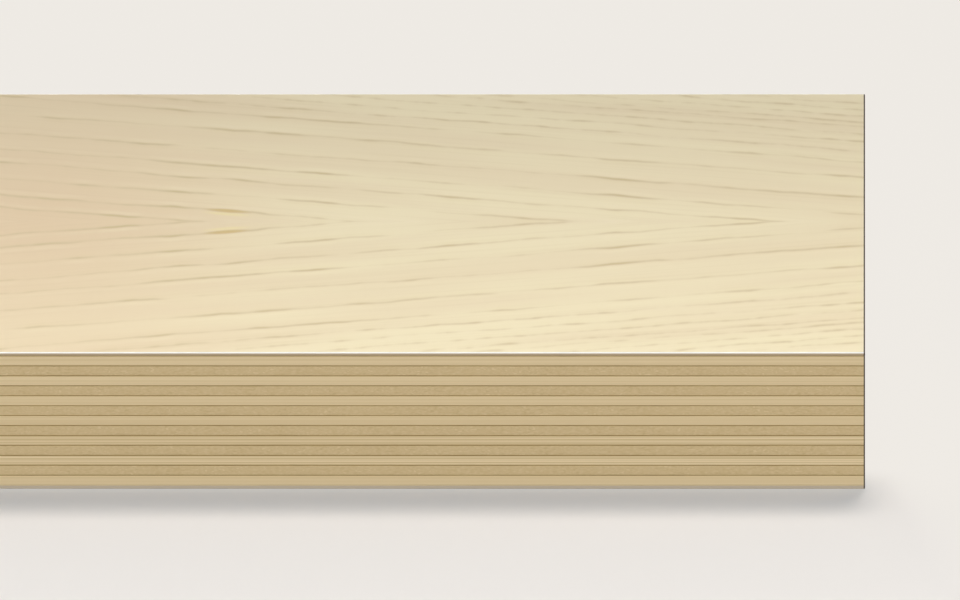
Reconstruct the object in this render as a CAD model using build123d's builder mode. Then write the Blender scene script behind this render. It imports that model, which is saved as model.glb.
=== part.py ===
"""Veneered plywood board, millimetres.

Thirteen core plies are glued crosswise: odd plies run their grain along the board, even plies run it
across. A thin sliced veneer covers the core on both sides. The face is two book-matched leaves, one
opened from the other like a page, that meet along the middle of the board. A dark glue line shows
between every two layers on all four sawn edges.

Frame: the origin is the middle of the underside, +X runs along the face grain, +Z is up.
"""

import os

from build123d import *

# Board
board_length = 600.0
board_width = 100.0

# Layup
ply_count = 13
ply_thickness = 1.19
glue_line_thickness = 0.12
face_veneer_thickness = 0.425
back_veneer_thickness = 0.425

# Edges, eased by a light sanding that never goes through the veneer
arris_radius = 0.15
arris_limit_share = 0.45

# Heights above the underside
core_bottom = back_veneer_thickness + glue_line_thickness
ply_pitch = ply_thickness + glue_line_thickness
core_top = core_bottom + ply_count * ply_pitch - glue_line_thickness
face_bottom = core_top + glue_line_thickness
board_thickness = face_bottom + face_veneer_thickness

# Face leaves
leaf_width = board_width / 2
face_arris = min(arris_radius, arris_limit_share * face_veneer_thickness)
back_arris = min(arris_radius, arris_limit_share * back_veneer_thickness)

os.makedirs("parts", exist_ok=True)

# Back veneer: one plain sheet, its four lower edges eased
with BuildPart() as back_veneer:
    with BuildSketch(Plane.XY):
        Rectangle(board_length, board_width)
    extrude(amount=back_veneer_thickness)
    fillet(back_veneer.faces().sort_by(Axis.Z)[0].edges(), radius=back_arris)
back_veneer.part.label = "back_veneer"
export_step(back_veneer.part, "parts/back_veneer.step")

# Core plies, counted from the face down as the trade counts them
for number in range(1, ply_count + 1):
    grain_run = "long" if number % 2 else "cross"
    ply_top = core_top - (number - 1) * ply_pitch
    with BuildPart() as ply:
        with BuildSketch(Plane.XY.offset(ply_top - ply_thickness)):
            Rectangle(board_length, board_width)
        extrude(amount=ply_thickness)
    ply.part.label = f"ply_{number:02d}_{grain_run}"
    export_step(ply.part, f"parts/{ply.part.label}.step")

# Glue lines: one on top of every ply, and one more on the back veneer
for number in range(1, ply_count + 2):
    glue_bottom = core_top - (number - 1) * ply_pitch
    with BuildPart() as glue_line:
        with BuildSketch(Plane.XY.offset(glue_bottom)):
            Rectangle(board_length, board_width)
        extrude(amount=glue_line_thickness)
    glue_line.part.label = f"glue_line_{number:02d}"
    export_step(glue_line.part, f"parts/{glue_line.part.label}.step")

# Front face leaf: its upper edges are eased, except along the joint in the middle of the board
with BuildPart() as front_leaf:
    with BuildSketch(Plane.XY.offset(face_bottom)):
        Rectangle(board_length, leaf_width, align=(Align.CENTER, Align.MAX))
    extrude(amount=face_veneer_thickness)
    leaf_top_edges = front_leaf.faces().sort_by(Axis.Z)[-1].edges().sort_by(Axis.Y)
    fillet(leaf_top_edges[:-1], radius=face_arris)
front_leaf.part.label = "face_leaf_front"
export_step(front_leaf.part, "parts/face_leaf_front.step")

# Rear face leaf: the front one turned over along the joint
with BuildPart() as rear_leaf:
    add(front_leaf.part)
    mirror(about=Plane.XZ, mode=Mode.REPLACE)
rear_leaf.part.label = "face_leaf_rear"
export_step(rear_leaf.part, "parts/face_leaf_rear.step")

print(f"board {board_length:g} x {board_width:g} x {board_thickness:g} mm")
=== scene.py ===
"""Looks of the veneered plywood board.

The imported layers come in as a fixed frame. Each one is built again as a fine surface: its profile, with eased
arrises, is carried round its outline and given the slight waves of a sawn edge. The glue lines lie a hair
behind the plies. Lengths are in metres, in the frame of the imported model: +X along the board, +Z up. The
figure of the face is worked out in millimetres.
"""

import logging
import math
from dataclasses import dataclass, field
from enum import Enum

import bpy
import numpy as np
from mathutils import Matrix, Vector


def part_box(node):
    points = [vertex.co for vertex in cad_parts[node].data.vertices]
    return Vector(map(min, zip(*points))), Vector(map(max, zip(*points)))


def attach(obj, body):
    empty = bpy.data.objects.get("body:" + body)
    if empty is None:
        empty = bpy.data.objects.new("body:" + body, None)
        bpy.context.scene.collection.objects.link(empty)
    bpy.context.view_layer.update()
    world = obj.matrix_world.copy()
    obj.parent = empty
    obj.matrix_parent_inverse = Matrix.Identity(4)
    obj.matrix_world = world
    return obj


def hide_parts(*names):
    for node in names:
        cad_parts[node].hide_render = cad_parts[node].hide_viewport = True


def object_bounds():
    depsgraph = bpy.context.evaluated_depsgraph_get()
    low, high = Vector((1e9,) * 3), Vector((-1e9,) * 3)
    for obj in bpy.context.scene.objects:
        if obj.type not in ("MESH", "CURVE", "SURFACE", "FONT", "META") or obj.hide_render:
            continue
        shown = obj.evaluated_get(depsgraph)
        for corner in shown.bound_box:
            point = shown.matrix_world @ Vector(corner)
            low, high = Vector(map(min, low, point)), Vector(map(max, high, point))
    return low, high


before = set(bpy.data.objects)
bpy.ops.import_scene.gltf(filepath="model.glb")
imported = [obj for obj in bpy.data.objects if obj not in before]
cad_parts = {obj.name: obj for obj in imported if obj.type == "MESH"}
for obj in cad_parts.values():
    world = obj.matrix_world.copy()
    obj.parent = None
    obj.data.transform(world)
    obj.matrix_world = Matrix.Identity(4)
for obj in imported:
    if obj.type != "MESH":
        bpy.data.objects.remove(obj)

LOG = logging.getLogger("plywood_board")
CAD_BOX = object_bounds()
BODY = "root"
MM = 0.001
MM_PER_METRE = 1000.0

Colour = tuple[float, float, float, float]
Socket = bpy.types.NodeSocket
Sockets = dict[str, Socket]
Term = float | tuple[float, ...] | Socket

WHITE: Colour = (1.0, 1.0, 1.0, 1.0)
SCREEN_TOP = 255.0

# The curve between screen and linear colours: a straight foot, then a power
SRGB_KNEE = 0.04045
SRGB_SLOPE = 12.92
SRGB_SHIFT = 0.055
SRGB_POWER = 2.4

# The middle of a noise, and an even mix of two colours
MIDDLE = 0.5

# The sockets of a Mix node that count for colours: the share and both colours, and the result
COLOUR_MIX_INPUTS = (0, 6, 7)
COLOUR_MIX_OUTPUT = 2


def srgb(red: int, green: int, blue: int) -> Colour:
    """Turns a colour as a screen shows it into the linear colour that shaders take.

    Args:
        red: Red, from 0 to 255.
        green: Green, from 0 to 255.
        blue: Blue, from 0 to 255.

    Returns:
        The linear colour with an alpha of 1.
    """
    shown = np.array([red, green, blue]) / SCREEN_TOP
    power = ((shown + SRGB_SHIFT) / (1.0 + SRGB_SHIFT)) ** SRGB_POWER
    linear = np.where(shown <= SRGB_KNEE, shown / SRGB_SLOPE, power)
    return (*linear.tolist(), 1.0)


class Arris(Enum):
    """How the long side of a layer meets the next piece on its level."""

    BOTH_FREE = "both"
    REAR_JOINED = "rear"
    FRONT_JOINED = "front"


class Run(Enum):
    """Which way the fibres of a layer run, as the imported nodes' names end."""

    LONG = "long"
    CROSS = "cross"


class NodePad:
    """A node tree with short ways to add nodes and wire them."""

    def __init__(self, tree: bpy.types.NodeTree) -> None:
        """Keeps the tree that nodes go into."""
        self.tree = tree

    def put(self, kind: str, **settings: object) -> bpy.types.Node:
        """Adds a node.

        Args:
            kind: Blender's name for the type of node.
            settings: Properties of the node, by name.

        Returns:
            The new node.
        """
        node = self.tree.nodes.new(kind)
        for name, value in settings.items():
            setattr(node, name, value)
        return node

    def feed(self, target: Socket, term: Term) -> None:
        """Links a socket to the target, or sets the target to a plain value.

        Args:
            target: The input socket.
            term: What goes into it.
        """
        if isinstance(term, bpy.types.NodeSocket):
            self.tree.links.new(term, target)
        else:
            target.default_value = term

    def math(self, operation: str, *terms: Term) -> Socket:
        """Adds a Math node.

        Args:
            operation: The node's operation.
            terms: Its inputs, in order.

        Returns:
            The socket that holds the result.
        """
        node = self.put("ShaderNodeMath", operation=operation)
        for target, term in zip(node.inputs, terms):
            self.feed(target, term)
        return node.outputs[0]

    def vector(self, operation: str, *terms: Term) -> Socket:
        """Adds a Vector Math node.

        Args:
            operation: The node's operation, one that gives a vector.
            terms: Its inputs, in order.

        Returns:
            The socket that holds the vector.
        """
        node = self.put("ShaderNodeVectorMath", operation=operation)
        for target, term in zip(node.inputs, terms):
            self.feed(target, term)
        return node.outputs[0]

    def join(self, x: Term, y: Term, z: Term = 0.0) -> Socket:
        """Puts three numbers together as a vector.

        Args:
            x: The first number.
            y: The second number.
            z: The third number.

        Returns:
            The socket that holds the vector.
        """
        node = self.put("ShaderNodeCombineXYZ")
        for target, term in zip(node.inputs, (x, y, z)):
            self.feed(target, term)
        return node.outputs[0]

    def split(self, vector: Socket) -> tuple[Socket, Socket, Socket]:
        """Takes a vector apart.

        Args:
            vector: The vector.

        Returns:
            The sockets that hold its three numbers.
        """
        node = self.put("ShaderNodeSeparateXYZ")
        self.feed(node.inputs[0], vector)
        return tuple(node.outputs)

    def rise(self, value: Term, low: Term, high: Term) -> Socket:
        """Climbs smoothly from 0 to 1.

        Args:
            value: The value that drives the climb.
            low: Where it starts.
            high: Where it ends.

        Returns:
            The socket that holds the result.
        """
        node = self.put("ShaderNodeMapRange", interpolation_type="SMOOTHSTEP")
        for name, term in (("Value", value), ("From Min", low), ("From Max", high)):
            self.feed(node.inputs[name], term)
        return node.outputs[0]

    def fall(self, value: Term, low: Term, high: Term) -> Socket:
        """Drops smoothly from 1 where the value is low to 0 where it is high."""
        return self.math("SUBTRACT", 1.0, self.rise(value, low, high))

    def swing(self, value: Socket, reach: float) -> Socket:
        """Turns a value from 0 to 1 into one from -reach to reach."""
        return self.math("MULTIPLY_ADD", value, 2.0 * reach, -reach)

    def noise(self, place: Socket, detail: float = 1.0, dimensions: str = "3D") -> Socket:
        """Adds a noise of about one bump per unit, with values around 0.5.

        Args:
            place: The vector that the noise is read at.
            detail: Octaves added to the first.
            dimensions: How many of the vector's numbers count, as the node names it.

        Returns:
            The socket that holds the noise.
        """
        node = self.put("ShaderNodeTexNoise", noise_dimensions=dimensions)
        self.feed(node.inputs["Vector"], place)
        node.inputs["Scale"].default_value = 1.0
        node.inputs["Detail"].default_value = detail
        return node.outputs[0]

    def blend(self, share: Term, first: Term, second: Term) -> Socket:
        """Mixes two colours.

        Args:
            share: How much of the second colour there is, from 0 to 1.
            first: The first colour.
            second: The second colour.

        Returns:
            The socket that holds the mix.
        """
        node = self.put("ShaderNodeMix", data_type="RGBA")
        for number, term in zip(COLOUR_MIX_INPUTS, (share, first, second)):
            self.feed(node.inputs[number], term)
        return node.outputs[COLOUR_MIX_OUTPUT]

    def mix_shaders(self, share: Term, first: Socket, second: Socket) -> Socket:
        """Mixes two shaders.

        Args:
            share: How much of the second shader there is, from 0 to 1.
            first: The first shader.
            second: The second shader.

        Returns:
            The socket that holds the mix.
        """
        node = self.put("ShaderNodeMixShader")
        for target, term in zip(node.inputs, (share, first, second)):
            self.feed(target, term)
        return node.outputs[0]

    def effect(self, tree: bpy.types.NodeTree, **terms: Term) -> bpy.types.Node:
        """Places a shared effect and feeds its named inputs.

        Args:
            tree: The effect's node group.
            terms: Its inputs, by name.

        Returns:
            The group node, whose outputs have names.
        """
        node = self.put("ShaderNodeGroup", node_tree=tree)
        for name, term in terms.items():
            self.feed(node.inputs[name], term)
        return node


def new_effect(
    name: str, inputs: dict[str, str], outputs: dict[str, str],
) -> tuple[NodePad, Sockets, Sockets]:
    """Starts a shader node group.

    Args:
        name: The group's name.
        inputs: Socket type by input name.
        outputs: Socket type by output name.

    Returns:
        A pad on the group, the sockets that bring its inputs in, and those that take its outputs.
    """
    tree = bpy.data.node_groups.new(name, "ShaderNodeTree")
    for label, kind in inputs.items():
        tree.interface.new_socket(label, in_out="INPUT", socket_type=kind)
    for label, kind in outputs.items():
        tree.interface.new_socket(label, in_out="OUTPUT", socket_type=kind)
    pad = NodePad(tree)
    brought = pad.put("NodeGroupInput").outputs
    taken = pad.put("NodeGroupOutput").inputs
    return pad, {label: brought[label] for label in inputs}, {label: taken[label] for label in outputs}


@dataclass(frozen=True)
class FibreEffect:
    """Fibres that run one way through wood: streaks along them, flecks across their ends."""

    tone_detail: float = 2.0
    fleck_range: tuple[float, float] = (0.60, 0.72)
    cluster_range: tuple[float, float] = (0.42, 0.60)
    cluster_spread: float = 0.12

    def build(self) -> bpy.types.NodeTree:
        """Makes the group.

        The tone is a noise read at the place stretched along the fibres. Flecks are the crests of a finer
        noise, kept only where a broad noise is high, so that they come in clusters.

        Returns:
            The group, with the outputs Tone, from about -1 to 1, and Fleck, from 0 to 1.
        """
        vector, value = "NodeSocketVector", "NodeSocketFloat"
        pad, given, result = new_effect(
            "wood_fibre",
            {"Place": vector, "Stretch": vector, "Seed": value},
            {"Tone": value, "Fleck": value},
        )
        stretched = pad.vector("MULTIPLY", given["Place"], given["Stretch"])
        moved = pad.vector("ADD", stretched, pad.join(given["Seed"], given["Seed"], given["Seed"]))
        tone = pad.swing(pad.noise(moved, detail=self.tone_detail), 1.0)
        broad = pad.noise(pad.vector("MULTIPLY", moved, (self.cluster_spread,) * 3))
        crests = pad.rise(pad.noise(moved, detail=0.0), *self.fleck_range)
        cluster = pad.rise(broad, *self.cluster_range)
        pad.feed(result["Tone"], tone)
        pad.feed(result["Fleck"], pad.math("MULTIPLY", crests, cluster))
        return pad.tree


@dataclass(frozen=True)
class EdgeArrisEndShadeEffect:
    """What is an edge, what is an arris, and a painted shade along both ends: a dark band that stands in for
    the shade of the end faces.
    """

    half_length: float
    end_shade_full: float = 0.155 * MM
    end_shade_reach: float = 0.185 * MM
    end_facing: tuple[float, float] = (0.97, 0.995)
    edge_tilt: tuple[float, float] = (0.05, 0.25)
    face_tilt: tuple[float, float] = (0.985, 0.9995)

    def build(self) -> bpy.types.NodeTree:
        """Makes the group.

        An edge is where the surface faces sideways, a face where it faces up or down, and the arris is what
        lies between. The painted shade lies within a hair of the ends, on every surface but the end grain
        itself.

        Returns:
            The group, with the outputs Edge, Arris and EndShade, each from 0 to 1. EndShade is the painted
            shade.
        """
        vector, value = "NodeSocketVector", "NodeSocketFloat"
        pad, given, result = new_effect(
            "edge_arris_end_shade",
            {"Place": vector, "Facing": vector},
            {"Edge": value, "Arris": value, "EndShade": value},
        )
        place_x = pad.split(given["Place"])[0]
        facing_x, _, facing_z = pad.split(given["Facing"])
        tilt = pad.math("ABSOLUTE", facing_z)
        edge = pad.fall(tilt, *self.edge_tilt)
        arris = pad.math("MULTIPLY", pad.math("SUBTRACT", 1.0, edge), pad.fall(tilt, *self.face_tilt))
        from_end = pad.math("SUBTRACT", self.half_length, pad.math("ABSOLUTE", place_x))
        side_on = pad.fall(pad.math("ABSOLUTE", facing_x), *self.end_facing)
        # Painted shade: a dark band within a hair of each end, standing in for the shade of the end faces
        near_end = pad.fall(from_end, self.end_shade_full, self.end_shade_reach)
        pad.feed(result["Edge"], edge)
        pad.feed(result["Arris"], arris)
        pad.feed(result["EndShade"], pad.math("MULTIPLY", near_end, side_on))
        return pad.tree


@dataclass(frozen=True)
class DashEffect:
    """Growth lines of a sliced veneer, each a chain of strokes that swell and fade."""

    lines: tuple[float, ...] = (
        4.2, 9.0, 15.1, 21.2, 26.5, 33.0, 40.5, 47.0, 51.0, 54.5, 57.6, 60.6, 62.5, 65.0, 67.5, 70.0,
    )
    repeat: float = 73.0
    line_step: float = 7.31
    outer_lines: tuple[float, float] = (47.0, 54.0)
    outer_loss: float = 0.25
    outer_haste: float = 1.2
    stroke_length: float = 7.2
    stroke_detail: float = 2.5
    passage_length: float = 26.0
    passage_share: float = 0.5
    faint: float = 0.24
    strong: float = 0.88
    wobble_length: float = 7.0
    wobble: float = 1.3
    thin: float = 0.45
    swell: float = 0.35
    halo: float = 2.0
    core_share: float = 0.8
    pale_offset: float = 1.2
    pale_width: float = 1.2

    def nearest(self, pad: NodePad, growth: Socket) -> tuple[Socket, Socket, Socket]:
        """Finds the growth line that a place belongs to.

        A ramp in plain steps holds the lines: each step reaches halfway to the next line, and its colour
        holds where the line lies, as a share of the repeat.

        Args:
            pad: The group's pad.
            growth: The place's growth.

        Returns:
            The distance from the line, a number that is the line's own, and 1 for an outer line, 0 for an
            inner one.
        """
        turns = pad.math("FLOOR", pad.math("DIVIDE", growth, self.repeat))
        within = pad.math("MULTIPLY_ADD", turns, -self.repeat, growth)
        ramp = pad.put("ShaderNodeValToRGB")
        ramp.color_ramp.interpolation = "CONSTANT"
        # A new ramp has two steps, of which the first is kept
        steps = ramp.color_ramp.elements
        steps.remove(steps[1])
        middles = [(low + high) / 2 for low, high in zip(self.lines, self.lines[1:])]
        for number, (begin, line) in enumerate(zip([0.0, *middles], self.lines)):
            step = steps[0] if number == 0 else steps.new(begin / self.repeat)
            step.color = (line / self.repeat, number / len(self.lines), 0.0, 1.0)
        pad.feed(ramp.inputs[0], pad.math("DIVIDE", within, self.repeat))
        line_share, number_share, _ = pad.split(ramp.outputs[0])
        from_line = pad.math("MULTIPLY_ADD", line_share, -self.repeat, within)
        own = pad.math("MULTIPLY", pad.math("ADD", number_share, turns), self.line_step * len(self.lines))
        outer = pad.rise(pad.math("MULTIPLY", line_share, self.repeat), *self.outer_lines)
        return from_line, own, outer

    def build(self) -> bpy.types.NodeTree:
        """Makes the group.

        The growth lines lie at uneven steps that repeat. Along each line a short noise, raised or lowered by
        a long one and by the lift, makes the strokes. A third noise bends the line. A stroke is a dark core,
        wider where it is strong, in a soft halo, with a pale streak on its outer side. Outer lines have
        shorter and weaker strokes. Lengths are in millimetres.

        Returns:
            The group, with the outputs Dark and Pale, each from 0 to 1.
        """
        value = "NodeSocketFloat"
        pad, given, result = new_effect(
            "growth_dashes",
            {"Along": value, "Growth": value, "Lift": value},
            {"Dark": value, "Pale": value},
        )
        from_line, own, outer = self.nearest(pad, given["Growth"])
        darkest = pad.math("MULTIPLY_ADD", outer, -self.outer_loss, 1.0)
        haste = pad.math("MULTIPLY_ADD", outer, self.outer_haste, 1.0)
        hurried = pad.math("MULTIPLY", given["Along"], haste)
        stroke = self.along(pad, hurried, self.stroke_length, own)
        passage = self.along(pad, given["Along"], self.passage_length, own)
        between = pad.math("ADD", own, self.line_step / 2)
        bend = self.along(pad, given["Along"], self.wobble_length, between)
        raised = pad.math("SUBTRACT", passage, MIDDLE)
        level = pad.math("MULTIPLY_ADD", raised, self.passage_share, stroke)
        lifted = pad.math("ADD", level, given["Lift"])
        weight = pad.math("MULTIPLY", pad.rise(lifted, self.faint, self.strong), darkest)
        off = pad.math("MULTIPLY_ADD", pad.math("SUBTRACT", bend, MIDDLE), self.wobble, from_line)
        away = pad.math("ABSOLUTE", off)
        width = pad.math("MULTIPLY_ADD", weight, self.swell, self.thin)
        core = pad.math("MULTIPLY", pad.fall(away, 0.0, width), self.core_share)
        body = pad.math("MULTIPLY_ADD", pad.fall(away, 0.0, self.halo), 1.0 - self.core_share, core)
        beside = pad.math("ABSOLUTE", pad.math("SUBTRACT", off, self.pale_offset))
        streak = pad.fall(beside, 0.0, self.pale_width)
        pad.feed(result["Dark"], pad.math("MULTIPLY", body, weight))
        pad.feed(result["Pale"], pad.math("MULTIPLY", streak, weight))
        return pad.tree

    def along(self, pad: NodePad, along: Socket, length: float, own: Socket) -> Socket:
        """Adds a noise that changes along a line over the given length, and is the line's own."""
        place = pad.join(pad.math("DIVIDE", along, length), own)
        return pad.noise(place, detail=self.stroke_detail, dimensions="2D")


@dataclass(frozen=True)
class Effects:
    """The node groups that the finishes draw on."""

    fibre: bpy.types.NodeTree
    cut: bpy.types.NodeTree
    dash: bpy.types.NodeTree


class Finish:
    """Common start and end of every finish: a material with one Principled shader."""

    name: str
    roughness: float
    specular: float

    def start(self) -> tuple[NodePad, bpy.types.Node, Socket, Socket]:
        """Starts the material.

        Returns:
            A pad on the material, its shader, and the sockets with the place on the piece and its facing.
        """
        material = bpy.data.materials.new(self.name)
        material.use_nodes = True
        pad = NodePad(material.node_tree)
        shader = material.node_tree.nodes["Principled BSDF"]
        shader.inputs["Roughness"].default_value = self.roughness
        shader.inputs["Specular IOR Level"].default_value = self.specular
        place = pad.put("ShaderNodeTexCoord").outputs["Object"]
        facing = pad.put("ShaderNodeNewGeometry").outputs["Normal"]
        return pad, shader, place, facing

    def emboss(self, pad: NodePad, shader: bpy.types.Node, height: Socket, depth: float) -> None:
        """Turns a height that changes over the surface into slight relief.

        Args:
            pad: The material's pad.
            shader: The material's shader.
            height: The height, about 1 from low to high.
            depth: How deep that is, in metres.
        """
        bump = pad.put("ShaderNodeBump")
        bump.inputs["Strength"].default_value = 1.0
        bump.inputs["Distance"].default_value = depth
        pad.feed(bump.inputs["Height"], height)
        pad.feed(shader.inputs["Normal"], bump.outputs["Normal"])


@dataclass(frozen=True)
class PlyFinish(Finish):
    """A core ply: pale and streaked along its fibres, darker, flecked and pitted on the fibres' ends."""

    name: str
    run: Run
    side_pale: Colour = srgb(235, 213, 172)
    side_dark: Colour = srgb(205, 181, 136)
    end_pale: Colour = srgb(212, 189, 146)
    end_dark: Colour = srgb(199, 174, 128)
    fleck_colour: Colour = srgb(221, 199, 157)
    pit_colour: Colour = srgb(184, 158, 112)
    # Painted shade: the colour of the dark band along both ends
    end_shade_colour: Colour = srgb(82, 68, 54)
    fibre_length: float = 300.0 * MM
    fibre_width: float = 0.55 * MM
    fibre_height: float = 0.22 * MM
    end_facing: tuple[float, float] = (0.4, 0.8)
    streak_gain: float = 1.35
    streaked_height: float = 5.1 * MM
    streaked_reach: tuple[float, float] = (1.8 * MM, 2.6 * MM)
    calm_gain: float = 0.5
    fleck_share: float = 0.65
    pit_share: float = 0.34
    pit_seed: float = 41.0
    relief_depth: float = 0.012 * MM
    roughness: float = 0.62
    specular: float = 0.2

    def material(self, effects: Effects) -> bpy.types.Material:
        """Makes the material.

        The streaks are strongest in the plies around one height in the board. On the fibres' ends, flecks are
        pale crests of the fibre noise, and pits are dark crests of the same noise read elsewhere.

        Args:
            effects: The node groups.

        Returns:
            The ply's material.
        """
        pad, shader, place, facing = self.start()
        long_ways = self.run is Run.LONG
        stretch = (
            1.0 / (self.fibre_length if long_ways else self.fibre_width),
            1.0 / (self.fibre_width if long_ways else self.fibre_length),
            1.0 / self.fibre_height,
        )
        fibre = pad.effect(effects.fibre, Place=place, Stretch=stretch)
        cut = pad.effect(effects.cut, Place=place, Facing=facing)
        tone = fibre.outputs["Tone"]
        along = pad.split(facing)[0 if long_ways else 1]
        end_on = pad.rise(pad.math("ABSOLUTE", along), *self.end_facing)
        above_streaked = pad.math("SUBTRACT", pad.split(place)[2], self.streaked_height)
        lively = pad.fall(pad.math("ABSOLUTE", above_streaked), *self.streaked_reach)
        gain = pad.math("MULTIPLY_ADD", lively, self.streak_gain, self.calm_gain)
        side = pad.blend(pad.math("MULTIPLY_ADD", tone, gain, MIDDLE), self.side_pale, self.side_dark)
        end = pad.blend(pad.math("ADD", tone, MIDDLE), self.end_pale, self.end_dark)
        flecks = pad.math("MULTIPLY", fibre.outputs["Fleck"], self.fleck_share)
        flecked = pad.blend(flecks, end, self.fleck_colour)
        pores = pad.effect(effects.fibre, Place=place, Stretch=stretch, Seed=self.pit_seed).outputs["Fleck"]
        pitted = pad.blend(pad.math("MULTIPLY", pores, self.pit_share), flecked, self.pit_colour)
        wood = pad.blend(end_on, side, pitted)
        # The dark band along the ends is painted shade
        pad.feed(shader.inputs["Base Color"], pad.blend(cut.outputs["EndShade"], wood, self.end_shade_colour))
        self.emboss(pad, shader, tone, self.relief_depth)
        return bpy.data.materials[self.name]


@dataclass(frozen=True)
class FaceFinish(Finish):
    """The book-matched face: growth lines in nested points, mirrored about the joint between the leaves.

    Its lengths are in millimetres, apart from the depth of its relief.
    """

    name: str
    half_length: float
    ground: Colour = srgb(234, 217, 179)
    cream: Colour = srgb(239, 225, 186)
    rosy: Colour = srgb(229, 204, 166)
    line: Colour = srgb(208, 186, 136)
    pale: Colour = srgb(247, 233, 201)
    ochre: Colour = srgb(210, 182, 120)
    yellow: Colour = srgb(240, 223, 163)
    edge: Colour = srgb(180, 161, 131)
    # Painted highlight: the near-white colour along the arris
    arris: Colour = srgb(255, 252, 244)
    # Painted shade: the colour of the dark band along both ends
    end_shade: Colour = srgb(50, 31, 14)
    slope: float = 0.232
    point_offset: float = 23.76
    drift_along: float = 38.0
    drift_across: float = 14.0
    drift: float = 0.6
    lift: float = 0.08
    lift_reach: float = 16.0
    streak_length: float = 28.0
    streak_width: float = 0.9
    streak_share: float = 0.26
    cloud_length: float = 55.0
    cloud_width: float = 9.0
    cloud_range: tuple[float, float] = (0.3, 0.7)
    rosy_middle: float = -150.0
    rosy_repeat: float = 315.0
    rosy_wave: tuple[float, float] = (-0.16, 0.64)
    rosy_half_width: float = 44.0
    rosy_least: float = 0.6
    spot_from_end: float = -80.4
    spot_growth: float = 9.0
    spot_half_length: float = 3.8
    spot_half_width: float = 1.05
    spot_fade: tuple[float, float] = (0.2, 1.0)
    spot_rim: float = 1.15
    spot_rim_share: float = 0.55
    pale_share: float = 0.36
    relief_depth: float = 0.012 * MM
    roughness: float = 0.55
    arris_roughness: float = 0.18
    end_shade_roughness: float = 1.0
    specular: float = 0.35

    def figure(self, pad: NodePad, effects: Effects, place: Socket) -> tuple[Socket, Socket]:
        """Draws the wood of the face.

        Growth is the distance across the growth lines: the distance from the joint, plus a slope times the
        distance from the right end, plus a slow drift. Lines of even growth so meet at the joint in points.
        Under the lines lie clouds of two creams, and a rosy tint that comes and goes along the board as a
        cosine does and is strongest at the joint. Over them lies one ochre spot on each leaf, with a yellow
        rim on the side of the joint.

        Args:
            pad: The material's pad.
            effects: The node groups.
            place: The place on the piece.

        Returns:
            The colour, and the strength of the growth lines.
        """
        x, y, _ = pad.split(pad.vector("MULTIPLY", place, (MM_PER_METRE,) * 3))
        from_joint = pad.math("ABSOLUTE", y)
        from_end = pad.math("SUBTRACT", x, self.half_length)
        drift = pad.swing(self.broad(pad, x, self.drift_along, from_joint, self.drift_across), self.drift)
        from_point = pad.math("ADD", from_joint, self.point_offset)
        straight = pad.math("MULTIPLY_ADD", from_end, self.slope, from_point)
        growth = pad.math("ADD", straight, drift)
        lift = pad.math("MULTIPLY", pad.fall(from_joint, 0.0, self.lift_reach), self.lift)
        dashes = pad.effect(effects.dash, Along=x, Growth=growth, Lift=lift).outputs
        fibre = pad.effect(
            effects.fibre,
            Place=pad.join(x, growth),
            Stretch=(1.0 / self.streak_length, 1.0 / self.streak_width, 1.0),
        )
        cloud = self.broad(pad, x, self.cloud_length, growth, self.cloud_width)
        near_joint = pad.fall(from_joint, 0.0, self.rosy_half_width)
        heart = pad.math("MULTIPLY_ADD", near_joint, 1.0 - self.rosy_least, self.rosy_least)
        turn = 2.0 * math.pi / self.rosy_repeat
        wave = pad.math("COSINE", pad.math("MULTIPLY_ADD", from_end, turn, -turn * self.rosy_middle))
        rosy = pad.math("MULTIPLY", heart, pad.rise(wave, *self.rosy_wave))
        ground = pad.blend(pad.rise(cloud, *self.cloud_range), self.ground, self.cream)
        tinted = pad.blend(rosy, ground, self.rosy)
        streaks = pad.math("MULTIPLY", fibre.outputs["Tone"], self.streak_share)
        streaked = pad.blend(streaks, tinted, self.line)
        lightened = pad.blend(pad.math("MULTIPLY", dashes["Pale"], self.pale_share), streaked, self.pale)
        lined = pad.blend(dashes["Dark"], lightened, self.line)
        rim = self.spot(pad, from_end, growth, self.spot_growth - self.spot_rim)
        rimmed = pad.blend(pad.math("MULTIPLY", rim, self.spot_rim_share), lined, self.yellow)
        core = self.spot(pad, from_end, growth, self.spot_growth)
        return pad.blend(core, rimmed, self.ochre), dashes["Dark"]

    def broad(self, pad: NodePad, along: Socket, length: float, across: Socket, width: float) -> Socket:
        """Adds a noise of broad patches.

        Args:
            pad: The material's pad.
            along: Distance along the board.
            length: How long a patch is.
            across: Distance across the figure.
            width: How wide a patch is.

        Returns:
            The socket that holds the noise.
        """
        place = pad.join(pad.math("DIVIDE", along, length), pad.math("DIVIDE", across, width))
        return pad.noise(place, dimensions="2D")

    def spot(self, pad: NodePad, from_end: Socket, growth: Socket, middle: float) -> Socket:
        """Marks a spot on one growth line: an ellipse that is 1 in its middle and fades to 0 at its rim.

        Args:
            pad: The material's pad.
            from_end: Distance from the right end.
            growth: The place's growth.
            middle: The growth at the spot's middle.

        Returns:
            The mark.
        """
        from_spot = pad.math("SUBTRACT", from_end, self.spot_from_end)
        along = pad.math("DIVIDE", from_spot, self.spot_half_length)
        across = pad.math("DIVIDE", pad.math("SUBTRACT", growth, middle), self.spot_half_width)
        squares = pad.math("MULTIPLY_ADD", along, along, pad.math("MULTIPLY", across, across))
        return pad.fall(pad.math("SQRT", squares), *self.spot_fade)

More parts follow.
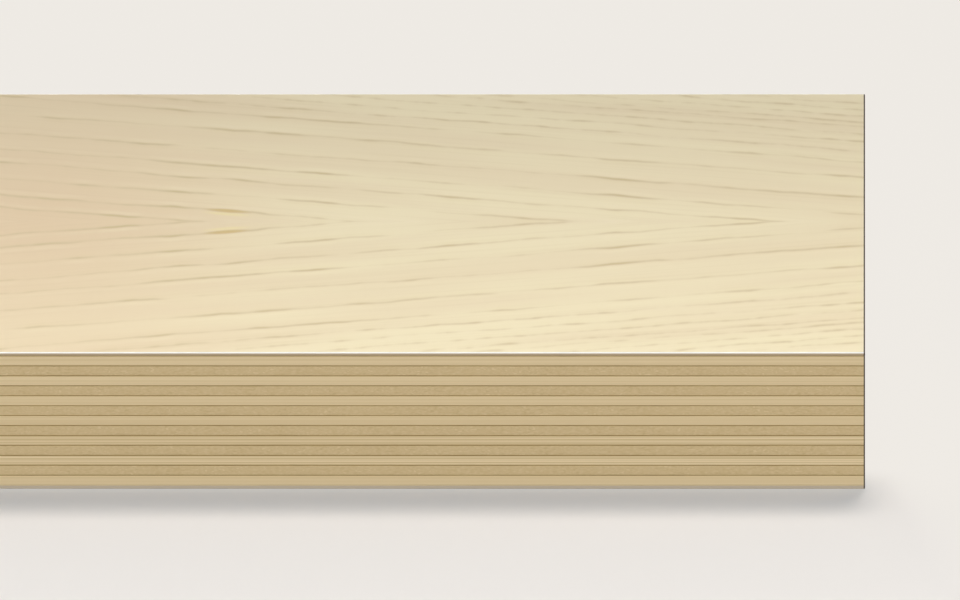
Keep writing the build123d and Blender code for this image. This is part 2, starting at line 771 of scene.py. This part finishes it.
    def material(self, effects: Effects) -> bpy.types.Material:
        """Makes the material: the figure, a darker edge, a smooth arris with a painted highlight, and a painted
        shade along the ends.

        Args:
            effects: The node groups.

        Returns:
            The face veneer's material.
        """
        pad, shader, place, facing = self.start()
        colour, dark = self.figure(pad, effects, place)
        cut = pad.effect(effects.cut, Place=place, Facing=facing).outputs
        edged = pad.blend(cut["Edge"], colour, self.edge)
        # Painted highlight: the arris gets a near-white colour
        eased = pad.blend(cut["Arris"], edged, self.arris)
        # Painted shade along both ends
        pad.feed(shader.inputs["Base Color"], pad.blend(cut["EndShade"], eased, self.end_shade))
        bare = pad.math("MULTIPLY", cut["Arris"], pad.math("SUBTRACT", 1.0, cut["EndShade"]))
        rubbed = pad.math("MULTIPLY_ADD", bare, self.arris_roughness - self.roughness, self.roughness)
        dulled = pad.math("MULTIPLY_ADD", cut["EndShade"], self.end_shade_roughness - self.roughness, rubbed)
        pad.feed(shader.inputs["Roughness"], dulled)
        self.emboss(pad, shader, pad.math("MULTIPLY", dark, -1.0), self.relief_depth)
        return bpy.data.materials[self.name]


@dataclass(frozen=True)
class BackFinish(Finish):
    """The back veneer: plain, straight grain."""

    name: str
    ground: Colour = srgb(226, 207, 170)
    streak: Colour = srgb(206, 184, 144)
    edge: Colour = srgb(190, 176, 156)
    # Painted shade: the colour of the dark band along both ends
    end_shade: Colour = srgb(82, 68, 54)
    streak_length: float = 120.0 * MM
    streak_width: float = 2.5 * MM
    relief_depth: float = 0.01 * MM
    roughness: float = 0.6
    specular: float = 0.2

    def material(self, effects: Effects) -> bpy.types.Material:
        """Makes the material.

        Args:
            effects: The node groups.

        Returns:
            The back veneer's material.
        """
        pad, shader, place, facing = self.start()
        stretch = (1.0 / self.streak_length, 1.0 / self.streak_width, 1.0 / self.streak_width)
        tone = pad.effect(effects.fibre, Place=place, Stretch=stretch).outputs["Tone"]
        cut = pad.effect(effects.cut, Place=place, Facing=facing).outputs
        streaked = pad.blend(pad.math("ADD", tone, MIDDLE), self.ground, self.streak)
        edged = pad.blend(cut["Edge"], streaked, self.edge)
        # Painted shade along both ends
        pad.feed(shader.inputs["Base Color"], pad.blend(cut["EndShade"], edged, self.end_shade))
        self.emboss(pad, shader, tone, self.relief_depth)
        return bpy.data.materials[self.name]


@dataclass(frozen=True)
class GlueFinish(Finish):
    """Cured glue: dark brown, with thin and thick stretches."""

    name: str
    thick: Colour = srgb(138, 114, 64)
    thin: Colour = srgb(162, 138, 86)
    # Painted shade: the colour of the dark band along both ends
    end_shade: Colour = srgb(74, 63, 53)
    patch_length: float = 6.0 * MM
    patch_height: float = 0.4 * MM
    roughness: float = 0.5
    specular: float = 0.3

    def material(self, effects: Effects) -> bpy.types.Material:
        """Makes the material.

        Args:
            effects: The node groups.

        Returns:
            The glue's material.
        """
        pad, shader, place, facing = self.start()
        stretch = (1.0 / self.patch_length, 1.0 / self.patch_length, 1.0 / self.patch_height)
        tone = pad.effect(effects.fibre, Place=place, Stretch=stretch).outputs["Tone"]
        cut = pad.effect(effects.cut, Place=place, Facing=facing).outputs
        varied = pad.blend(pad.math("ADD", tone, MIDDLE), self.thick, self.thin)
        # Painted shade along both ends
        pad.feed(shader.inputs["Base Color"], pad.blend(cut["EndShade"], varied, self.end_shade))
        return bpy.data.materials[self.name]


@dataclass(frozen=True)
class LowestGluePaintedLightFinish(GlueFinish):
    """The lowest glue line, painted paler than the others: painted light that lifts the shade in its recess."""

    thick: Colour = srgb(196, 179, 142)
    thin: Colour = srgb(208, 191, 152)


@dataclass(frozen=True)
class TextureMap:
    """How a layer is laid out flat for its textures: strips side by side, most room for what shows."""

    name: str = "OFBake"
    rim_strips: int = 6
    top_strips: int = 1
    foot_strips: int = 1
    rim_share: float = 0.92
    top_share: float = 0.04
    foot_share: float = 0.04
    margin: float = 0.004
    side_margin: float = 0.003
    level_weight: float = 0.1

    def rim(self, layer: "Layer") -> np.ndarray:
        """Lays out the rim: each long side in equal strips, each end in one strip.

        Across the map goes the distance along a strip. Up the map go the strips, and within one the distance
        down the profile, in which level stretches count little.

        Args:
            layer: The layer.

        Returns:
            The place of each corner of the rim's quads.
        """
        inset, height, _ = layer.profile()
        fall = np.abs(np.diff(height)) + self.level_weight * np.abs(np.diff(inset))
        depth = np.concatenate([[0.0], np.cumsum(fall)]) / fall.sum()
        n_long, n_wide = layer.steps_long, layer.steps_wide
        front = np.linspace(0, n_long, self.rim_strips + 1)
        starts = np.concatenate([front, front + n_long + n_wide])
        stops = np.append(starts[1:], 2 * (n_long + n_wide))
        here = np.arange(2 * (n_long + n_wide))
        strip = np.searchsorted(starts, here, side="right") - 1
        length = (stops - starts)[strip]
        near = (here - starts[strip]) / length
        far = near + 1.0 / length
        across = np.stack([near, near, far, far], axis=1)
        down = np.stack([depth[:-1], depth[1:], depth[1:], depth[:-1]], axis=1)
        u = np.broadcast_to(across[None], (down.shape[0], *across.shape))
        v = self.within(strip[None, :, None], down[:, None, :], starts.size) * self.rim_share
        return np.stack([u, v], axis=-1).reshape(-1, 2)

    def cap(self, layer: "Layer", ring: np.ndarray, faces: list[list[int]], strips: int) -> np.ndarray:
        """Lays out the top or the underside, cut across its length into equal strips.

        Args:
            layer: The layer.
            ring: The points round the cap.
            faces: The corners of its faces, as places in the ring.
            strips: How many strips it is cut into.

        Returns:
            The place of each corner of the faces, in a unit square.
        """
        share = (ring[:, :2] - layer.low[:2]) / (layer.high - layer.low)[:2]
        corners = np.concatenate([np.asarray(face) for face in faces])
        sizes = np.array([len(face) for face in faces])
        face = np.repeat(np.arange(sizes.size), sizes)
        along = share[corners, 0] * strips
        middle = np.bincount(face, along) / sizes
        strip = np.clip(np.floor(middle), 0, strips - 1)[face]
        return np.stack([along - strip, self.within(strip, share[corners, 1], strips)], axis=1)

    def lay(
        self, layer: "Layer", rings: np.ndarray, top: list[list[int]], foot: list[list[int]],
    ) -> np.ndarray:
        """Lays out the whole layer: the rim at the bottom of the map, the top above it, then the underside.

        Args:
            layer: The layer.
            rings: Its points, by row and place along the outline.
            top: The faces of its top, as places in a ring.
            foot: The faces of its underside, as places in a ring.

        Returns:
            The place of each corner of the mesh.
        """
        upper = self.cap(layer, rings[0], top, self.top_strips) * (1.0, self.top_share)
        lower = self.cap(layer, rings[-1], foot, self.foot_strips) * (1.0, self.foot_share)
        above_rim = upper + (0.0, self.rim_share)
        above_top = lower + (0.0, self.rim_share + self.top_share)
        whole = np.concatenate([self.rim(layer), above_rim, above_top])
        room = 1.0 - 2.0 * self.side_margin
        return (whole * (room, 1.0) + (self.side_margin, 0.0)).astype(np.float32)

    def within(self, strip: np.ndarray, part: np.ndarray, strips: int) -> np.ndarray:
        """Places a part of a strip, with a margin on both sides, among all strips of its kind."""
        edge = self.margin * strips
        return (strip + edge + (1.0 - 2.0 * edge) * part) / strips


@dataclass
class Layer:
    """One flat layer of the board: an eased profile carried round a rectangular outline."""

    node: str
    piece: str
    slot: str
    top_ease: float = 0.0
    foot_ease: float = 0.0
    setback: float = 0.0
    saw_depth: float = 0.0
    seed: int = 0
    arris: Arris = Arris.BOTH_FREE
    run: Run = Run.LONG
    ease_steps: int = 3
    side_rows: int = 5
    apron: float = 0.4 * MM
    steps_long: int = 600
    steps_wide: int = 100
    sharp_angle: float = math.radians(50.0)
    wave_lengths: tuple[float, ...] = (2.7 * MM, 7.9 * MM, 31.0 * MM)
    fibre_share: float = 0.5
    texture_map: TextureMap = TextureMap()
    low: np.ndarray = field(init=False)
    high: np.ndarray = field(init=False)

    def __post_init__(self) -> None:
        """Takes the layer's place and size from its node."""
        low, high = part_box(self.node)
        self.low, self.high = np.array(low), np.array(high)

    def profile(self) -> tuple[np.ndarray, np.ndarray, np.ndarray]:
        """Works out the profile from the top face down to the underside.

        It starts on the top, rounds the upper arris by a quarter circle, goes down the edge in even rows,
        rounds the lower arris and ends on the underside. A quarter circle of radius r at angle a has the
        inset r (1 - sin a) and the drop r (1 - cos a).

        Returns:
            The inset, the height and the share of the saw's waves, row by row.
        """
        turn = np.linspace(0.0, math.pi / 2, self.ease_steps + 1)
        into, drop = 1.0 - np.sin(turn), 1.0 - np.cos(turn)
        top, foot = self.high[2], self.low[2]
        rows = np.linspace(top - self.top_ease, foot + self.foot_ease, self.side_rows + 2)[1:-1]
        inset = np.concatenate([
            [self.top_ease + self.apron],
            self.top_ease * into,
            np.zeros(self.side_rows),
            self.foot_ease * into[::-1],
            [self.foot_ease + self.apron],
        ])
        height = np.concatenate([
            [top],
            top - self.top_ease * drop,
            rows,
            foot + self.foot_ease * drop[::-1],
            [foot],
        ])
        waves = np.concatenate([[0.0], np.sin(turn), np.ones(self.side_rows), np.sin(turn[::-1]), [0.0]])
        return inset + self.setback, height, waves

    def outline(self) -> tuple[np.ndarray, np.ndarray]:
        """Traces the outline, counter-clockwise seen from above, from the left front corner.

        Returns:
            The points, and the way out of the board at each, which is nil at the corners.
        """
        along = np.linspace(0.0, 1.0, self.steps_long, endpoint=False)
        across = np.linspace(0.0, 1.0, self.steps_wide, endpoint=False)
        x = np.concatenate([along, np.ones_like(across), 1.0 - along, np.zeros_like(across)])
        y = np.concatenate([np.zeros_like(along), across, np.ones_like(along), 1.0 - across])
        share = np.stack([x, y], axis=1)
        points = self.low[:2] + share * (self.high - self.low)[:2]
        out = np.where(share == 0.0, -1.0, np.where(share == 1.0, 1.0, 0.0))
        out[np.abs(out).sum(axis=1) > 1.0] = 0.0
        return points, out

    def saw_marks(self, path: np.ndarray, rows: int) -> np.ndarray:
        """Works out how deep the saw has cut into the edge, from 0 to 1.

        The mean of sine waves of random phase runs along the edge, moved from -1 to 1 into 0 to 1. Fibres
        take a share of the depth: ridges along the edge in a long layer, and small pits in a cross layer.

        Args:
            path: Distance along the outline at each point.
            rows: Rows of the profile.

        Returns:
            The depth for each row and point.
        """
        rng = np.random.default_rng(self.seed)
        lengths = np.array(self.wave_lengths)
        phases = rng.uniform(0.0, 2.0 * math.pi, lengths.size)
        waves = np.sin(2.0 * math.pi * path[:, None] / lengths + phases).mean(axis=1)
        ridges = rng.uniform(0.0, 1.0, (rows, 1))
        pits = rng.uniform(0.0, 1.0, (rows, path.size))
        fibres = ridges if self.run is Run.LONG else pits
        return (1.0 - self.fibre_share) * (1.0 + waves) / 2 + self.fibre_share * fibres

    def rings(self) -> np.ndarray:
        """Carries the profile round the outline.

        Each row of the profile is a ring: the outline clamped into a rectangle that is smaller by the row's
        inset, and then cut back by the saw's waves.

        Returns:
            The points, by row and place along the outline.
        """
        inset, height, wave_share = self.profile()
        points, out = self.outline()
        path = np.concatenate([[0.0], np.cumsum(np.linalg.norm(np.diff(points, axis=0), axis=1))])
        front_free = self.arris is not Arris.FRONT_JOINED
        rear_free = self.arris is not Arris.REAR_JOINED
        free = np.array([[1.0, front_free], [1.0, rear_free]])
        lowest = self.low[:2] + inset[:, None] * free[0]
        highest = self.high[:2] - inset[:, None] * free[1]
        flat = np.clip(points, lowest[:, None, :], highest[:, None, :])
        depth = self.saw_depth * wave_share[:, None] * self.saw_marks(path, height.size)
        cut = np.where(out < 0.0, free[0], free[1]) * out
        flat = flat - depth[:, :, None] * cut
        level = np.broadcast_to(height[:, None, None], (*flat.shape[:2], 1))
        return np.concatenate([flat, level], axis=2)

    def rim_faces(self, rows: int) -> list[list[int]]:
        """Lists the quads between the rings.

        Args:
            rows: Rows of the profile.

        Returns:
            The corners of every quad.
        """
        count = 2 * (self.steps_long + self.steps_wide)
        here = np.arange(count)
        after = np.roll(here, -1)
        row = np.arange(rows - 1)[:, None] * count
        quads = np.stack([row + here, row + count + here, row + count + after, row + after], axis=2)
        return quads.reshape(-1, 4).tolist()

    def cap_faces(self) -> list[list[int]]:
        """Lists the faces that close a ring, seen from above.

        They are a ladder of quads from the front side to the rear side, and two end faces that also take in
        the points along the ends.

        Returns:
            The corners of every face, as places in the ring.
        """
        n_long, n_wide = self.steps_long, self.steps_wide
        rear = 2 * n_long + n_wide
        rung = np.arange(1, n_long - 1)
        ladder = np.stack([rung, rung + 1, rear - rung - 1, rear - rung], axis=1)
        left = [0, 1, *range(rear - 1, rear + n_wide)]
        right = [*range(n_long - 1, n_long + n_wide + 2)]
        return [*ladder.tolist(), left, right]

    def build(self, material: bpy.types.Material) -> bpy.types.Object:
        """Makes the piece, which stands for its node.

        Args:
            material: The layer's finish.

        Returns:
            The piece.
        """
        rings = self.rings()
        rows, count = rings.shape[:2]
        top = self.cap_faces()
        foot = [face[::-1] for face in top]
        under = [[(rows - 1) * count + corner for corner in face] for face in foot]
        mesh = bpy.data.meshes.new(self.piece)
        mesh.from_pydata(rings.reshape(-1, 3).tolist(), [], [*self.rim_faces(rows), *top, *under])
        mesh.polygons.foreach_set("use_smooth", np.ones(len(mesh.polygons), dtype=bool))
        mesh.set_sharp_from_angle(angle=self.sharp_angle)
        layout = self.texture_map.lay(self, rings, top, foot)
        mesh.uv_layers.new(name=self.texture_map.name).uv.foreach_set("vector", layout.ravel())
        mesh.materials.append(material)
        piece = bpy.data.objects.new(self.piece, mesh)
        bpy.context.scene.collection.objects.link(piece)
        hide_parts(self.node)
        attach(piece, BODY)
        return piece


@dataclass
class Layup:
    """The whole board: face leaves, plies, glue lines and back veneer."""

    ply_ease: float = 0.03 * MM
    veneer_ease: float = 0.15 * MM
    veneer_ease_steps: int = 6
    glue_setback: float = 0.04 * MM
    saw_depth: float = 0.02 * MM
    first_seed: int = 100
    coarse_long: int = 300
    coarse_wide: int = 50
    face_map: TextureMap = TextureMap(
        rim_strips=3, top_strips=3, rim_share=0.17, top_share=0.77, foot_share=0.06,
    )
    back_map: TextureMap = TextureMap(
        rim_strips=3, foot_strips=3, rim_share=0.17, top_share=0.06, foot_share=0.77,
    )

    def nodes(self, start: str) -> list[str]:
        """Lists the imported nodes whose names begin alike, from the face down."""
        return sorted(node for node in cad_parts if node.startswith(start))

    def layers(self) -> list[tuple[Layer, str]]:
        """Lists the layers: the face leaves, the plies, the glue lines and the back veneer.

        Returns:
            The layers, each with the name of its finish.
        """
        found: list[tuple[Layer, str]] = []
        coarse = {"steps_long": self.coarse_long, "steps_wide": self.coarse_wide}
        for side, arris in (("front", Arris.REAR_JOINED), ("rear", Arris.FRONT_JOINED)):
            leaf = Layer(
                f"face_leaf_{side}", f"sanded_leaf_{side}", "face_veneer", top_ease=self.veneer_ease,
                arris=arris, ease_steps=self.veneer_ease_steps, texture_map=self.face_map, **coarse,
            )
            found.append((leaf, "face_veneer"))
        for number, node in enumerate(self.nodes("ply_")):
            run = Run(node.split("_")[-1])
            slot = f"{run.value}_ply"
            ply = Layer(
                node, f"sawn_{node}", slot, top_ease=self.ply_ease, foot_ease=self.ply_ease,
                saw_depth=self.saw_depth, seed=self.first_seed + number, run=run,
            )
            found.append((ply, slot))
        glue_nodes = self.nodes("glue_")
        for node in glue_nodes:
            glue = Layer(
                node, f"cured_{node}", "glue_line", setback=self.glue_setback, ease_steps=1, side_rows=1,
                **coarse,
            )
            found.append((glue, "lowest_glue_line_painted_light" if node == glue_nodes[-1] else "glue_line"))
        back = Layer(
            "back_veneer", "sanded_back_veneer", "back_veneer", foot_ease=self.veneer_ease,
            ease_steps=self.veneer_ease_steps, texture_map=self.back_map, **coarse,
        )
        found.append((back, "back_veneer"))
        return found

    def build(self, finishes: dict[str, bpy.types.Material]) -> None:
        """Builds and dresses every layer.

        Args:
            finishes: The materials, by name.
        """
        for layer, finish in self.layers():
            piece = layer.build(finishes[finish])
            LOG.info("%s stands for %s, %d faces", piece.name, layer.node, len(piece.data.polygons))


@dataclass(frozen=True)
class Lamp:
    """A soft rectangle of light, hidden from the camera."""

    name: str
    place: tuple[float, float, float]
    aim: tuple[float, float, float]
    length: float
    depth: float
    watts: float
    spread: float = math.pi

    def build(self) -> None:
        """Hangs the lamp and turns it towards its aim."""
        light = bpy.data.lights.new(self.name, "AREA")
        light.shape = "RECTANGLE"
        light.size = self.length
        light.size_y = self.depth
        light.energy = self.watts
        light.spread = self.spread
        lamp = bpy.data.objects.new(self.name, light)
        lamp.location = self.place
        lamp.rotation_euler = (Vector(self.aim) - Vector(self.place)).to_track_quat("-Z", "Y").to_euler()
        lamp.visible_camera = False
        bpy.context.scene.collection.objects.link(lamp)


@dataclass(frozen=True)
class Studio:
    """Floor, surroundings and lamps."""

    floor_half: float = 6.0
    floor_drop: float = 0.02 * MM
    floor_colour: Colour = srgb(244, 231, 217)
    floor_roughness: float = 1.0
    floor_specular: float = 0.0
    bounce_colour: Colour = srgb(64, 63, 62)
    backdrop: Colour = srgb(239, 235, 229)
    front_light: Colour = srgb(180, 219, 249)
    front_glow: float = 0.22
    rear_glow: float = 0.985
    glow_behind: tuple[float, float] = (-0.003, 0.008)
    glow_before: tuple[float, float] = (-0.17, -0.05)
    beyond_end: tuple[float, float] = (0.002, 0.012)
    end_widening: float = 0.045
    strip_end: tuple[float, float] = (0.03, 0.12)
    ambient: float = 0.27
    lamps: tuple[Lamp, ...] = (
        Lamp("rear_key", place=(0.25, 0.17, 0.64), aim=(0.25, -0.17, 0.0), length=2.4, depth=0.32,
             watts=1.76, spread=math.radians(35.0)),
        Lamp("front_fill", place=(0.25, -0.90, 0.20), aim=(0.25, -0.05, 0.01), length=2.4, depth=0.30,
             watts=9.6),
        Lamp("rear_fill", place=(0.25, 0.90, 0.06), aim=(0.25, 0.05, 0.01), length=2.4, depth=0.08,
             watts=7.0),
        Lamp("right_fill", place=(1.40, 0.0, 0.25), aim=(0.30, 0.0, 0.01), length=1.0, depth=0.30,
             watts=3.0),
        Lamp("left_fill", place=(-1.40, 0.0, 0.25), aim=(-0.30, 0.0, 0.01), length=1.0, depth=0.30,
             watts=3.0),
    )

    def floor(self) -> None:
        """Lays the floor just under the board.

        The camera sees it mostly in the backdrop's colour, except for a strip along the front of the board
        that ends a little beyond the board's ends. There the lamps light it, so it keeps the board's shadow.
        The strip's bounds are measured from the board's front side and from its ends. To every other ray the
        floor is dark and dull, so that it throws little light up at the board.
        """
        corner = np.array([[-1, -1], [1, -1], [1, 1], [-1, 1]]) * self.floor_half
        corners = np.concatenate([corner, np.full((4, 1), -self.floor_drop)], axis=1)
        mesh = bpy.data.meshes.new("studio_floor")
        mesh.from_pydata(corners.tolist(), [], [[0, 1, 2, 3]])
        material = bpy.data.materials.new("studio_floor")
        material.use_nodes = True
        pad = NodePad(material.node_tree)
        shader = material.node_tree.nodes["Principled BSDF"]
        shader.inputs["Base Color"].default_value = self.floor_colour
        shader.inputs["Roughness"].default_value = self.floor_roughness
        shader.inputs["Specular IOR Level"].default_value = self.floor_specular
        glow = pad.put("ShaderNodeEmission")
        low, high = CAD_BOX
        x, y, _ = pad.split(pad.put("ShaderNodeTexCoord").outputs["Object"])
        past_end = pad.math("SUBTRACT", pad.math("ABSOLUTE", x), high.x)
        past_front = pad.math("SUBTRACT", y, low.y)
        beyond = pad.rise(past_end, *self.beyond_end)
        first, last = self.glow_behind
        behind = pad.rise(past_front, pad.math("MULTIPLY_ADD", beyond, -self.end_widening, first), last)
        beside = pad.math("MAXIMUM", behind, pad.rise(past_end, *self.strip_end))
        grade = pad.math("MAXIMUM", beside, pad.fall(past_front, *self.glow_before))
        share = pad.math("MULTIPLY_ADD", grade, self.rear_glow - self.front_glow, self.front_glow)
        from_backdrop = pad.math("DIVIDE", pad.math("MULTIPLY", grade, self.rear_glow), share)
        pad.feed(glow.inputs["Color"], pad.blend(from_backdrop, self.front_light, self.backdrop))
        pale = pad.mix_shaders(share, shader.outputs[0], glow.outputs[0])
        bounce = pad.put("ShaderNodeBsdfDiffuse")
        bounce.inputs["Color"].default_value = self.bounce_colour
        surface = pad.mix_shaders(self.seen(pad), bounce.outputs[0], pale)
        pad.feed(material.node_tree.nodes["Material Output"].inputs["Surface"], surface)
        mesh.materials.append(material)
        floor = bpy.data.objects.new("studio_floor", mesh)
        bpy.context.scene.collection.objects.link(floor)

    def seen(self, pad: NodePad) -> Socket:
        """Tells the rays that show a surface to the camera, straight or by way of gloss and glass.

        Args:
            pad: The pad of the material or of the world.

        Returns:
            The socket that holds 1 for those rays and 0 for the rest.
        """
        path = pad.put("ShaderNodeLightPath").outputs
        mirrored = pad.math("MAXIMUM", path["Is Glossy Ray"], path["Is Transmission Ray"])
        return pad.math("MAXIMUM", path["Is Camera Ray"], mirrored)

    def surroundings(self) -> None:
        """Lights the scene evenly from all round, and shows the backdrop's colour to the camera."""
        world = bpy.data.worlds.new("studio")
        world.use_nodes = True
        bpy.context.scene.world = world
        pad = NodePad(world.node_tree)
        world.node_tree.nodes.clear()
        lit = pad.put("ShaderNodeBackground")
        lit.inputs["Color"].default_value = WHITE
        lit.inputs["Strength"].default_value = self.ambient
        shown = pad.put("ShaderNodeBackground")
        shown.inputs["Color"].default_value = self.backdrop
        surface = pad.mix_shaders(self.seen(pad), lit.outputs[0], shown.outputs[0])
        pad.feed(pad.put("ShaderNodeOutputWorld").inputs["Surface"], surface)

    def build(self) -> None:
        """Sets up the floor, the surroundings and the lamps."""
        self.floor()
        self.surroundings()
        for lamp in self.lamps:
            lamp.build()
            LOG.info("lamp %s, %.2f W", lamp.name, lamp.watts)


@dataclass(frozen=True)
class PhotoCamera:
    """The photograph's view: a long lens in line with the board's right end, turned towards its middle."""

    frame_width: float = 960.0
    frame_height: float = 600.0
    right_end_column: float = 865.0
    far_arris_row: float = 93.9
    near_arris_row: float = 352.4
    foot_row: float = 489.0
    lens: float = 1000.0
    sensor: float = 36.0
    first_pitch: float = math.radians(19.0)
    first_distance: float = 3.3
    slope_step: float = 1e-6
    rounds: int = 20
    clip_start: float = 0.05
    clip_end: float = 50.0

    @property
    def focal(self) -> float:
        """The focal length in pixels."""
        return self.lens / self.sensor * self.frame_width

    @property
    def pan(self) -> float:
        """How far the camera turns from the right end to the middle of the frame."""
        return math.atan((self.right_end_column - self.frame_width / 2) / self.focal)

    def heights(self, unknown: np.ndarray, points: np.ndarray) -> np.ndarray:
        """Works out how high points of the right end appear.

        Args:
            unknown: The camera's y, its z and its downward pitch.
            points: The points' y and z.

        Returns:
            Height above the middle of the frame over depth, for each point.
        """
        away = points - unknown[:2]
        cosine, sine = math.cos(unknown[2]), math.sin(unknown[2])
        depth = away[:, 0] * cosine - away[:, 1] * sine
        rise = away[:, 0] * sine + away[:, 1] * cosine
        return rise / depth

    def solve(self, low: Vector, high: Vector) -> np.ndarray:
        """Finds the camera from the rows at which three corners of the right end appear.

        Newton's method, with slopes from small steps, on the camera's y, z and pitch.

        Args:
            low: Lowest corner of the board.
            high: Highest corner of the board.

        Returns:
            The camera's y, its z and its downward pitch.
        """
        points = np.array([[high.y, high.z], [low.y, high.z], [low.y, low.z]])
        rows = np.array([self.far_arris_row, self.near_arris_row, self.foot_row])
        wanted = (self.frame_height / 2 - rows) / self.focal * math.cos(self.pan)
        unknown = np.array([
            low.y - self.first_distance * math.cos(self.first_pitch),
            high.z + self.first_distance * math.sin(self.first_pitch),
            self.first_pitch,
        ])
        nudges = self.slope_step * np.eye(unknown.size)
        for _ in range(self.rounds):
            now = self.heights(unknown, points)
            nudged = np.stack([self.heights(unknown + nudge, points) for nudge in nudges], axis=1)
            slopes = (nudged - now[:, None]) / self.slope_step
            unknown = unknown + np.linalg.solve(slopes, wanted - now)
        return unknown

    def build(self) -> None:
        """Sets the camera up in line with the right end, and turns it towards the middle of the frame."""
        low, high = CAD_BOX
        y, z, pitch = self.solve(low, high)
        right = Vector((1.0, 0.0, 0.0))
        ahead = Vector((0.0, math.cos(pitch), -math.sin(pitch)))
        up = Vector((0.0, math.sin(pitch), math.cos(pitch)))
        turned_ahead = ahead * math.cos(self.pan) - right * math.sin(self.pan)
        turned_right = right * math.cos(self.pan) + ahead * math.sin(self.pan)
        data = bpy.data.cameras.new("photo_camera")
        data.lens = self.lens
        data.sensor_width = self.sensor
        data.clip_start = self.clip_start
        data.clip_end = self.clip_end
        camera = bpy.data.objects.new("photo_camera", data)
        turn = Matrix((turned_right, up, -turned_ahead)).transposed()
        camera.matrix_world = Matrix.Translation((high.x, y, z)) @ turn.to_4x4()
        bpy.context.scene.collection.objects.link(camera)
        bpy.context.scene.camera = camera
        distance = math.hypot(low.y - y, high.z - z)
        LOG.info("camera %.3f m away, %.2f degrees down", distance, math.degrees(pitch))


def main() -> None:
    """Builds the finishes, the board, the studio and the camera, in that order."""
    logging.basicConfig(level=logging.INFO, format="%(name)s: %(message)s")
    bpy.context.scene.view_settings.view_transform = "Standard"
    low, high = CAD_BOX
    half_length = (high.x - low.x) / 2
    effects = Effects(FibreEffect().build(), EdgeArrisEndShadeEffect(half_length).build(), DashEffect().build())
    finishes = {
        "face_veneer": FaceFinish("face_veneer_finish", half_length * MM_PER_METRE).material(effects),
        "long_ply": PlyFinish("long_ply_finish", Run.LONG).material(effects),
        "cross_ply": PlyFinish("cross_ply_finish", Run.CROSS).material(effects),
        "glue_line": GlueFinish("glue_line_finish").material(effects),
        "lowest_glue_line_painted_light": LowestGluePaintedLightFinish("lowest_glue_line_painted_light_finish").material(effects),
        "back_veneer": BackFinish("back_veneer_finish").material(effects),
    }
    Layup().build(finishes)
    Studio().build()
    PhotoCamera().build()


if __name__ == "__main__":
    main()
